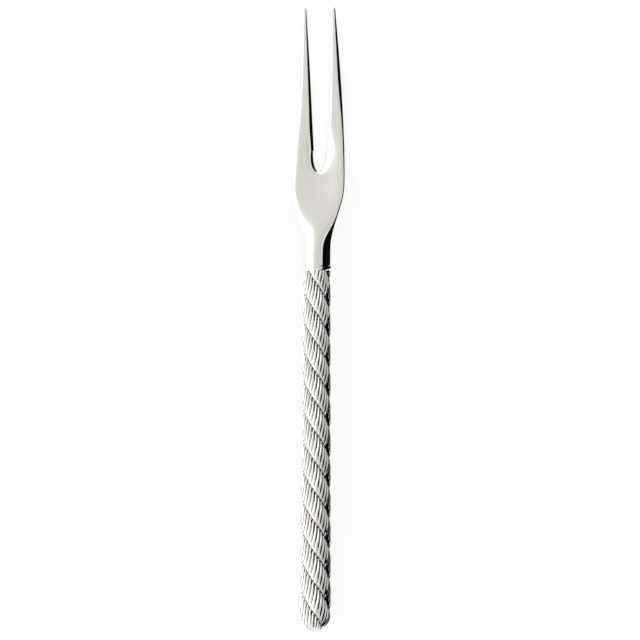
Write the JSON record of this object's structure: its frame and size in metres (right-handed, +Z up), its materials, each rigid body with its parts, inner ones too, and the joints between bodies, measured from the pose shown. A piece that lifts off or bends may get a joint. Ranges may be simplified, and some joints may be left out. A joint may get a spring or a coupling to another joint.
{
  "type": "cold meat fork",
  "caption": "Slim serving fork in one piece of polished metal, with long pointed tines, a hollowed palm, a round neck and collar, and a round grip shaped as twisted rope.",
  "frame": {"origin": "middle of the fork's outline on the table it lies on: half its length, half its width, and the lowest point", "axes": "+Y along the fork from the butt to the tine tips, +X across the palm, +Z up, out of the hollow front"},
  "size_m": [0.0166, 0.2, 0.0158],
  "materials": {
    "polished_metal": "mirror-polished stainless steel, the same on the head, the collar and the rope grip"
  },
  "bodies": {
    "root": {"fork": "polished_metal"}
  },
  "joints": []
}
